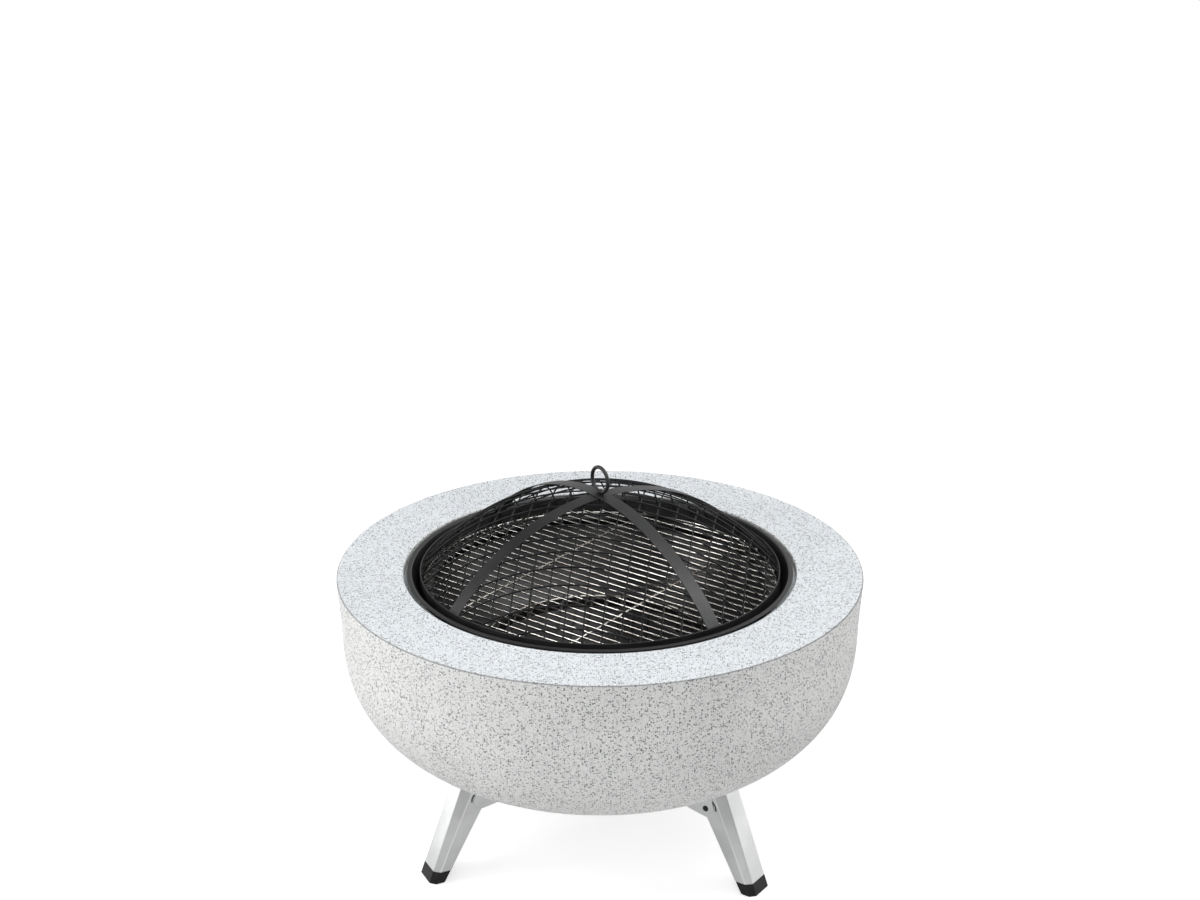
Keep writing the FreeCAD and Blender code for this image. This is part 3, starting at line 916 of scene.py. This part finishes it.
def bent_strap(name, sizes, inner, turn, finish):
    """A flat strap bent over the dome, its ends turned down inside the band."""
    middle = dome_middle(sizes)
    bend = inner + sizes.strap_sheet / 2
    tab = sizes.band - sizes.band_sheet - mm(0.4) - sizes.strap_sheet / 2
    lean = math.asin(tab / bend)
    shoulder = middle + bend * math.cos(lean)
    low = BAND_TOP - mm(15)
    corners = [(-tab, low, 0), (-tab, shoulder, mm(3))]
    arcs = 56
    for i in range(1, arcs):
        a = lean * (2 * i / arcs - 1)
        corners.append((bend * math.sin(a), middle + bend * math.cos(a), 0))
    corners += [(tab, shoulder, mm(3)), (tab, low, 0)]
    path = rounded(corners, steps=5, closed=False)
    half, thick, ease = sizes.strap / 2, sizes.strap_sheet / 2, mm(0.35)
    section = rounded([(-half, -thick, ease), (half, -thick, ease),
                       (half, thick, ease), (-half, thick, ease)], steps=2)
    rings = []
    for point, out in zip(path, beside(path, 1.0)):
        up = (out - point).normalized()
        rings.append([(point.x + up.x * y, x, point.y + up.y * y) for x, y in section])
    bm = bmesh.new()
    lofted(bm, rings)
    return evened(meshed(name, bm, finish, turn - math.pi / 2))


class PIT_OT_screen_frame(Operator):
    """Bends the spark screen's band and its two crossing straps"""
    bl_idname = "fire_pit.screen_frame"
    bl_label = "Screen frame"

    def execute(self, context):
        sizes = context.scene.pit_screen
        coat = given_finish(powder_coat, "black powder coat", sizes)
        inner = sizes.band - sizes.band_sheet
        ease = mm(0.6)
        section = rounded([(inner, BAND_FOOT, ease), (sizes.band, BAND_FOOT, ease),
                           (sizes.band, BAND_TOP, ease), (inner, BAND_TOP, ease)], steps=3)
        bm = bmesh.new()
        spun(bm, section, steps=192)
        piece = evened(meshed("screen_band_hoop", bm, coat))
        set_in(piece, "screen", "screen_black", "screen_band")
        lower, upper = strap_radii(sizes)
        piece = bent_strap("screen_strap_over", sizes, upper, sizes.upper_turn, coat)
        set_in(piece, "screen", "screen_black", "screen_strap_upper")
        piece = bent_strap("screen_strap_under", sizes, lower, sizes.lower_turn, coat)
        set_in(piece, "screen", "screen_black", "screen_strap_lower")
        return {"FINISHED"}


class PIT_OT_screen_mesh(Operator):
    """Bends the spark screen's wires over the dome, one way and the other"""
    bl_idname = "fire_pit.screen_mesh"
    bl_label = "Screen mesh"

    def execute(self, context):
        sizes = context.scene.pit_screen
        tree = dome_wires_tree()
        values = {"Wires": sizes.count, "Points": 56, "Pitch": sizes.pitch, "Reach": sizes.reach,
                  "Wire": sizes.wire, "Middle": dome_middle(sizes),
                  "Finish": given_finish(powder_coat, "black wire coat", sizes, 0.2)}
        across = grown("screen_mesh_across", tree, {
            **values, "Shift": sizes.shift_across, "Dome": sizes.dome, "Turn": sizes.turn})
        set_in(across, "screen", "screen_black", "screen_wires_across")
        along = grown("screen_mesh_along", tree, {
            **values, "Shift": sizes.shift_along, "Dome": sizes.dome - 2 * sizes.wire - mm(0.05),
            "Turn": sizes.turn + math.pi / 2})
        set_in(along, "screen", "screen_black", "screen_wires_along")
        return {"FINISHED"}


class PIT_OT_lifting_eye(Operator):
    """Makes the lifting eye with its collar and stem, and the nut under the straps"""
    bl_idname = "fire_pit.lifting_eye"
    bl_label = "Lifting eye"

    def execute(self, context):
        sizes = context.scene.pit_screen
        coat = given_finish(powder_coat, "black powder coat", sizes)
        lower, upper = strap_radii(sizes)
        crown = dome_middle(sizes) + upper + sizes.strap_sheet
        stem, stem_end, collar = mm(2.5), crown - mm(14), mm(5.1)
        corners = [(0, stem_end, 0), (stem, stem_end, mm(0.6)), (stem, crown, 0),
                   (collar, crown, mm(0.6)), (collar, crown + mm(4.6), mm(1.4)),
                   (mm(3.2), crown + mm(5.6), mm(0.6)), (0, crown + mm(5.8), 0)]
        bm = bmesh.new()
        spun(bm, rounded(corners, steps=4), steps=32)
        bolt = meshed("lifting_eye_bolt", bm, coat)
        bm = bmesh.new()
        loop(bm, sizes.eye, sizes.eye_wire, z=0.0, steps=72, sides=16)
        lift = Matrix.Translation((0, 0, crown + sizes.eye + sizes.eye_wire))
        bm.transform(lift @ Matrix.Rotation(math.pi / 2, 4, "X"))
        bolt = carved(bolt, meshed("eye_ring", bm, coat), "UNION")
        bolt.data.transform(Matrix.Rotation(sizes.upper_turn - math.pi / 2, 4, "Z"))
        bolt.data.shade_smooth()
        bolt.data.set_sharp_from_angle(angle=math.radians(40))
        set_in(bolt, "screen", "screen_black", "eye_bolt")
        top = dome_middle(sizes) + lower - mm(0.05)
        corner, foot, ease = mm(8) / math.sqrt(3), top - mm(4), mm(0.5)
        levels = ((foot, 0.88), (foot + ease, 1.0), (top - ease, 1.0), (top, 0.88))
        bm = bmesh.new()
        lofted(bm, [[(corner * share * c, corner * share * s, z)
                     for c, s in round_points(6, sizes.turn)] for z, share in levels])
        nut = softened(meshed("lifting_eye_nut", bm, coat), mm(0.15))
        set_in(nut, "screen", "screen_black", "eye_nut")
        return {"FINISHED"}


def leg_turn(sizes, side):
    """The turn that brings a leg drawn along x to its bearing."""
    return getattr(sizes, side) - math.pi / 2


def leg_outline(sizes, z, grow=0.0, back=0.0):
    """Half of a leg's section at a height: face edge, fold edge and rear edge."""
    face = mm(262.8) - 0.371 * z + grow
    edge = mm(256.2) - 0.434 * z + grow * 0.8
    rear = mm(243.0) - 0.5585 * z - back
    return [(face, sizes.face + grow * 0.4), (edge, sizes.side + grow), (rear, sizes.side + grow)]


def leg_ring(sizes, z):
    """A leg's folded sheet at a height, as a closed ring."""
    face, edge, rear = leg_outline(sizes, z)
    half = [(*rear, 0), (*edge, sizes.bend), (*face, sizes.bend)]
    corners = [(x, -y, radius) for x, y, radius in half] + half[::-1]
    path = rounded(corners, steps=4, closed=False)
    return [(x, y, z) for x, y in hollow(path, sizes.wall)]


def channel(bm, low, high):
    """A folded channel between two rings of a hollow section, closed by the sheet's edge."""
    rows = [[bm.verts.new(point) for point in ring] for ring in (low, high)]
    count = len(low)
    for i in range(count):
        j = (i + 1) % count
        bm.faces.new([rows[0][i], rows[0][j], rows[1][j], rows[1][i]])
    for row in rows:
        for i in range(count // 2 - 1):
            bm.faces.new([row[i], row[i + 1], row[count - 2 - i], row[count - 1 - i]])


def circle(x, z, radius, start, end, steps):
    """Points along an arc, between two angles in degrees."""
    turns = [math.radians(start + (end - start) * i / steps) for i in range(steps + 1)]
    return [(x + radius * math.cos(a), z + radius * math.sin(a)) for a in turns]


class PIT_OT_legs(Operator):
    """Folds the three legs with their pin eye and curved slot"""
    bl_idname = "fire_pit.legs"
    bl_label = "Legs"

    def in_slot(self, sizes, point):
        """One on the walls and the floor of the curved slot, zero elsewhere."""
        reach = math.hypot(point.x - sizes.pin_out, point.z - sizes.pin_up)
        depth = sizes.side - abs(point.y)
        return float(mm(13) < reach < mm(16.2) and sizes.wall / 4 < depth < sizes.wall * 0.9)

    def on_fold(self, sizes, point):
        """One on the rounded fold between a leg's bevel and its side, zero elsewhere."""
        edge = leg_outline(sizes, point.z)[1]
        return float(math.hypot(point.x - edge[0], abs(point.y) - edge[1]) < mm(1.1))

    def cutter(self, sizes):
        """What is cut away: the leg's back above its eye, the pin's hole and the two slots."""
        x, z = sizes.pin_out, sizes.pin_up
        eye = circle(x, z, mm(10), 233.13, 90.0, 20)
        behind, above = x - mm(60), z + mm(72)
        slot = circle(x, z, mm(15.6), -3.5, 64, 14) + circle(x, z, mm(13.6), 64, -3.5, 14)
        floor = sizes.side - sizes.wall * 0.8
        bm = bmesh.new()
        prism(bm, [(behind, z - mm(8))] + eye + [(x, above), (behind, above)],
              -CUT_REACH, CUT_REACH)
        prism(bm, circle(x, z, sizes.pin + mm(0.05), 0, 345, 23), -CUT_REACH, CUT_REACH)
        prism(bm, slot, -CUT_REACH, -floor)
        prism(bm, slot, floor, CUT_REACH)
        return meshed("leg_cutter", bm)

    def execute(self, context):
        sizes = context.scene.pit_legs
        alloy = given_finish(satin_alloy, "satin alloy", sizes.alloy)
        for side in LEG_SIDES:
            bm = bmesh.new()
            channel(bm, leg_ring(sizes, sizes.foot), leg_ring(sizes, LEG_TOP))
            piece = carved(meshed("leg_" + side + "_channel", bm, alloy), self.cutter(sizes))
            faces = piece.data.polygons
            # The slot mark takes painted shade and the fold mark a painted highlight, in the satin
            # alloy.
            for name, share in (("slot", self.in_slot), ("fold", self.on_fold)):
                marks = piece.data.attributes.new(name, "FLOAT", "FACE")
                marks.data.foreach_set("value", [share(sizes, face.center) for face in faces])
            piece.data.transform(Matrix.Rotation(leg_turn(sizes, side), 4, "Z"))
            set_in(softened(piece, mm(0.3)), side + "_leg", "leg_alloy", "leg_" + side)
        return {"FINISHED"}


class PIT_OT_feet(Operator):
    """Moulds the three feet that cap the legs"""
    bl_idname = "fire_pit.feet"
    bl_label = "Feet"

    CAP = ((0.0, -1.3), (0.35, -0.5), (1.3, 0.3), (15.9, 0.3), (16.7, 0.1), (17.0, -0.5))
    PLUG = ((17.0, -2.1), (28.0, -2.1), (29.0, -2.8))

    def ring(self, sizes, z, grow, back):
        """The foot's outline at a height, grown past the leg's own, all in millimetres."""
        half = leg_outline(sizes, mm(z), mm(grow), mm(back + grow))
        corners = [(x, -y, mm(2.2)) for x, y in half[::-1]] + [(x, y, mm(2.2)) for x, y in half]
        return [(x, y, mm(z)) for x, y in rounded(corners, steps=4)]

    def execute(self, context):
        sizes = context.scene.pit_legs
        rubber = given_finish(moulded_black, "moulded feet", sizes.rubber, 0.38, 0.52)
        for side in LEG_SIDES:
            bm = bmesh.new()
            for levels, back in ((self.CAP, 0.0), (self.PLUG, -2.0)):
                lofted(bm, [self.ring(sizes, z, grow, back) for z, grow in levels])
            piece = meshed("foot_" + side + "_cap", bm, rubber, leg_turn(sizes, side))
            set_in(evened(piece), side + "_leg", "foot_black", "foot_" + side)
        return {"FINISHED"}


class PIT_OT_hinges(Operator):
    """Bends the three hinge brackets and sets their pins and screws"""
    bl_idname = "fire_pit.hinges"
    bl_label = "Hinges"

    # Radius, drop below the plate and whether it is a hexagon, in millimetres, from the socket out.
    SCREW = ((0.6, 1.2, True), (1.9, 1.2, True), (1.9, 2.6, True), (2.7, 2.6, False),
             (3.4, 2.3, False), (4.3, 1.2, False), (4.6, 0.3, False), (4.6, 0.0, False),
             (2.5, 0.0, False), (2.5, -16.0, False))

    def bracket(self, sizes, name, finish):
        """A plate with two ears, bent from one sheet, cut to its outline and drilled."""
        x, z = sizes.pin_out, sizes.pin_up
        outer, low = sizes.side + EAR_GAP, mm(95)
        corners = [(-outer, low, 0), (-outer, STONE_UNDERSIDE, mm(3)),
                   (outer, STONE_UNDERSIDE, mm(3)), (outer, low, 0)]
        ring = hollow(rounded(corners, steps=5, closed=False), -mm(2))
        bm = bmesh.new()
        channel(bm, *([(end, y, up) for y, up in ring] for end in (mm(140), mm(205))))
        piece = meshed(name, bm, finish)
        heel, above = (mm(145), mm(124)), STONE_UNDERSIDE + mm(2)
        tail = bent(heel, (mm(150.5), mm(112.5)), (mm(162), mm(106)), steps=8)
        outline = [(mm(191), above), (heel[0], above), heel]
        outline += [tuple(point) for point in tail]
        outline += circle(x, z, mm(12.3), -99.4, 0, 14)
        outline += [(mm(195), mm(130)), (mm(191), LEG_TOP)]
        bm = bmesh.new()
        prism(bm, outline, -CUT_REACH, CUT_REACH)
        carved(piece, meshed("bracket_outline", bm), "INTERSECT")
        bm = bmesh.new()
        prism(bm, circle(x, z, sizes.pin + mm(0.02), 0, 345, 23), -CUT_REACH, 0.0)
        for hole in SCREW_PLACES:
            ring = circle(hole, 0, mm(2.6), 0, 337.5, 15)
            lofted(bm, [[(px, py, up) for px, py in ring] for up in (mm(140), mm(160))])
        return carved(piece, meshed("bracket_holes", bm))

    def pin(self, sizes, finish):
        """A rivet: its domed head shows on one ear, its tail is welded flush into the other."""
        half = sizes.side + EAR_GAP
        tail = mm(1) - half
        head = mm(4.2)
        corners = [(0, tail, 0), (sizes.pin, tail, mm(0.4)), (sizes.pin, half, 0), (head, half, 0),
                   (head, half + mm(0.4), mm(0.3)), (mm(3.4), half + mm(1.3), mm(0.8)),
                   (mm(2.2), half + mm(1.75), 0), (0, half + mm(1.8), 0)]
        bm = bmesh.new()
        spun(bm, rounded(corners, steps=3), steps=28)
        place_at = Matrix.Translation((sizes.pin_out, 0, sizes.pin_up))
        bm.transform(place_at @ Matrix.Rotation(math.pi / 2, 4, "X"))
        return meshed("hinge_rivet", bm, finish)

    def screws(self, finish):
        """One bracket's two screws, with hexagon sockets."""
        steps = 24
        bm = bmesh.new()
        for x in SCREW_PLACES:
            rings = []
            for radius, down, hexed in self.SCREW:
                ring = []
                for i in range(steps):
                    a = 2 * math.pi * i / steps
                    r = mm(radius)
                    if hexed:
                        r /= math.cos(a % (math.pi / 3) - math.pi / 6)
                    ring.append((x + r * math.cos(a), r * math.sin(a), LEG_TOP - mm(down)))
                rings.append(ring)
            lofted(bm, rings)
        return meshed("bracket_screw", bm, finish)

    def execute(self, context):
        sizes = context.scene.pit_legs
        sheet = given_finish(satin_alloy, "bracket sheet", sizes.alloy, 0.30, 0.42)
        black = given_finish(moulded_black, "blackened pin", (0.02, 0.02, 0.021), 0.3, 0.42, 1400.0)
        zinc = given_finish(satin_alloy, "zinc screw", (0.62, 0.63, 0.64), 0.26, 0.4)
        for side in LEG_SIDES:
            piece = self.bracket(sizes, "bracket_" + side + "_sheet", sheet)
            piece.data.transform(Matrix.Rotation(leg_turn(sizes, side), 4, "Z"))
            set_in(softened(piece, mm(0.3)), "base", "bracket_alloy", "bracket_" + side)
        tree = round_the_legs_tree()
        values = {"Legs": len(LEG_SIDES), "First": leg_turn(sizes, "left")}
        pins = grown("hinge_rivets", tree, {**values, "Finish": black}, self.pin(sizes, black))
        set_in(pins, "base", "pin_black", "hinge_pins")
        screws = grown("bracket_screw_set", tree, {**values, "Finish": zinc}, self.screws(zinc))
        set_in(screws, "base", "screw_steel", "bracket_screws")
        return {"FINISHED"}


class PIT_OT_stage(Operator):
    """Sets the pale floor, the soft studio light and the camera"""
    bl_idname = "fire_pit.stage"
    bl_label = "Stage"

    # Name, power, place, width and height, the height that it points at, and its roll in degrees.
    LAMPS = (
        ("left lamp", "left", (-2.6, 0.7, 0.5), (1.5, 0.8), 0.4, 0.0),
        ("front lamp", "front", (-2.3, -1.4, 1.3), (0.7, 0.7), 0.4, 0.0),
        ("high left lamp", "left_high", (-2.3, -0.08, 1.8), (0.6, 0.6), 0.35, 0.0),
        ("high front lamp", "front_high", (-0.19, -2.22, 2.36), (1.4, 1.0), 0.35, 0.0),
        ("high right lamp", "right_high", (2.0, 0.18, 2.58), (0.6, 0.6), 0.35, 0.0),
        ("right lamp", "right", (2.5, 0.6, 1.3), (0.7, 1.9), 0.5, 0.0),
        ("top lamp", "above", (0.8, -0.4, 3.0), (1.6, 1.6), 0.4, 0.0),
        ("strip lamp", "strip", (-2.18, -0.39, 2.22), (0.16, 1.5), 0.86, 26.0),
    )

    def floor(self, sizes):
        """A pale matt floor that keeps the shadow and goes over into plain white further out."""
        bm = bmesh.new()
        bmesh.ops.create_circle(bm, cap_ends=True, segments=96, radius=14.0)
        finish = bpy.data.materials.new("studio floor")
        finish.use_nodes = True
        work = NodeWork(finish.node_tree)
        work.nodes.remove(work.nodes["Principled BSDF"])
        camera, mirrored = work.seen_rays()
        seen = work.sum("MAXIMUM", camera, mirrored)
        spot = work.node("ShaderNodeTexCoord").outputs["Object"]
        away = work.vector_sum("LENGTH", spot)["Value"]
        # Mirrored in the pit, the floor in front of it is darker.
        ahead = work.faded(work.split(spot)["Y"], -0.6, -0.4, 0.55, 0.0)
        tone = work.sum("SUBTRACT", 1.0, work.product(ahead, mirrored))
        matt = work.node("ShaderNodeBsdfDiffuse", {"Color": work.product(tone, sizes.floor)})
        lift = work.sum("MAXIMUM", work.faded(away, 0.3, 0.6, 0.0, 0.3), work.product(camera, 0.6))
        glow = work.node("ShaderNodeEmission", {"Strength": work.product(seen, lift)})
        near = work.node("ShaderNodeAddShader", {0: matt.outputs[0], 1: glow.outputs[0]})
        bright = work.sum("MAXIMUM", camera, work.product(tone, 0.75))
        white = work.node("ShaderNodeEmission", {"Strength": bright})
        far = work.product(work.faded(away, 0.7, 1.9), seen)
        blend = work.node("ShaderNodeMixShader", {0: far, 1: near.outputs[0], 2: white.outputs[0]})
        work.put(work.nodes["Material Output"].inputs["Surface"], blend.outputs[0])
        meshed("studio_floor", bm, finish)

    def sky(self, sizes):
        """A white backdrop to the camera; mirrored, it darkens overhead and behind the camera."""
        world = bpy.data.worlds.new("studio")
        bpy.context.scene.world = world
        world.use_nodes = True
        work = NodeWork(world.node_tree)
        toward = work.split(work.node("ShaderNodeTexCoord").outputs["Generated"])
        level = work.sum("SUBTRACT", toward["Z"], work.product(toward["X"], 0.15))
        level = work.faded(level, 0.08, 0.45, 1.0, 0.0)
        around = work.faded(toward["Y"], -0.8, 0.1, 0.12, 1.0)
        overhead = work.faded(toward["X"], -0.5, 0.6, 0.15, 0.8)
        image = work.node("ShaderNodeMix", {0: level, 2: overhead, 3: around}).outputs[0]
        camera, mirrored = work.seen_rays()
        shown = work.sum("MAXIMUM", image, camera)
        seen = work.sum("MAXIMUM", camera, mirrored)
        background = work.nodes["Background"].inputs
        background["Color"].default_value = (1, 1, 1, 1)
        work.put(background["Strength"], work.between(seen, 0.0, 1.0, sizes.sky, shown))

    def lamp(self, name, watts, where, spread, aim_height, roll):
        data = bpy.data.lights.new(name, "AREA")
        data.shape = "RECTANGLE"
        data.size, data.size_y = spread
        data.energy = watts
        lamp = bpy.data.objects.new(name, data)
        lamp.location = where
        aim = (Vector((0, 0, aim_height)) - Vector(where)).to_track_quat("-Z", "Y").to_matrix()
        lamp.rotation_euler = (aim @ Matrix.Rotation(math.radians(roll), 3, "Z")).to_euler()
        lamp.visible_camera = False
        bpy.context.scene.collection.objects.link(lamp)

    def camera(self, sizes):
        data = bpy.data.cameras.new("camera")
        data.sensor_fit = "HORIZONTAL"
        data.sensor_width = 36.0
        data.lens = sizes.lens
        camera = bpy.data.objects.new("camera", data)
        camera.location = (0, -sizes.camera_back, sizes.camera_up)
        camera.rotation_euler = (sizes.camera_tilt, 0, 0)
        bpy.context.scene.collection.objects.link(camera)
        bpy.context.scene.camera = camera

    def execute(self, context):
        sizes = context.scene.pit_stage
        self.floor(sizes)
        self.sky(sizes)
        for name, watts, *setting in self.LAMPS:
            self.lamp(name, getattr(sizes, watts), *setting)
        self.camera(sizes)
        context.scene.view_settings.view_transform = "Standard"
        return {"FINISHED"}


PIECES = (PIT_OT_stone_bowl, PIT_OT_fire_bowl, PIT_OT_charcoal_grate, PIT_OT_cooking_grill,
          PIT_OT_screen_frame, PIT_OT_screen_mesh, PIT_OT_lifting_eye, PIT_OT_legs, PIT_OT_feet,
          PIT_OT_hinges, PIT_OT_stage)

SIZES = {"pit_stone": StoneBowlSizes, "pit_fire_bowl": FireBowlSizes, "pit_grate": GrateSizes,
         "pit_grill": GrillSizes, "pit_screen": ScreenSizes, "pit_legs": LegSizes,
         "pit_stage": StageSizes}


class PIT_PT_pieces(Panel):
    """The fire pit's pieces, one button each"""
    bl_idname = "PIT_PT_pieces"
    bl_label = "Fire pit"
    bl_space_type = "VIEW_3D"
    bl_region_type = "UI"
    bl_category = "Fire pit"

    def draw(self, context):
        for piece in PIECES:
            self.layout.operator(piece.bl_idname)


def register():
    for group in SIZES.values():
        bpy.utils.register_class(group)
    for name, group in SIZES.items():
        setattr(bpy.types.Scene, name, PointerProperty(type=group))
    for piece in PIECES:
        bpy.utils.register_class(piece)
    bpy.utils.register_class(PIT_PT_pieces)


def unregister():
    bpy.utils.unregister_class(PIT_PT_pieces)
    for piece in reversed(PIECES):
        bpy.utils.unregister_class(piece)
    for name, group in reversed(SIZES.items()):
        delattr(bpy.types.Scene, name)
        bpy.utils.unregister_class(group)


def main():
    register()
    bpy.ops.fire_pit.stone_bowl()
    bpy.ops.fire_pit.fire_bowl()
    bpy.ops.fire_pit.charcoal_grate()
    bpy.ops.fire_pit.cooking_grill()
    bpy.ops.fire_pit.screen_frame()
    bpy.ops.fire_pit.screen_mesh()
    bpy.ops.fire_pit.lifting_eye()
    bpy.ops.fire_pit.legs()
    bpy.ops.fire_pit.feet()
    bpy.ops.fire_pit.hinges()
    bpy.ops.fire_pit.stage()


if __name__ == "__main__":
    main()
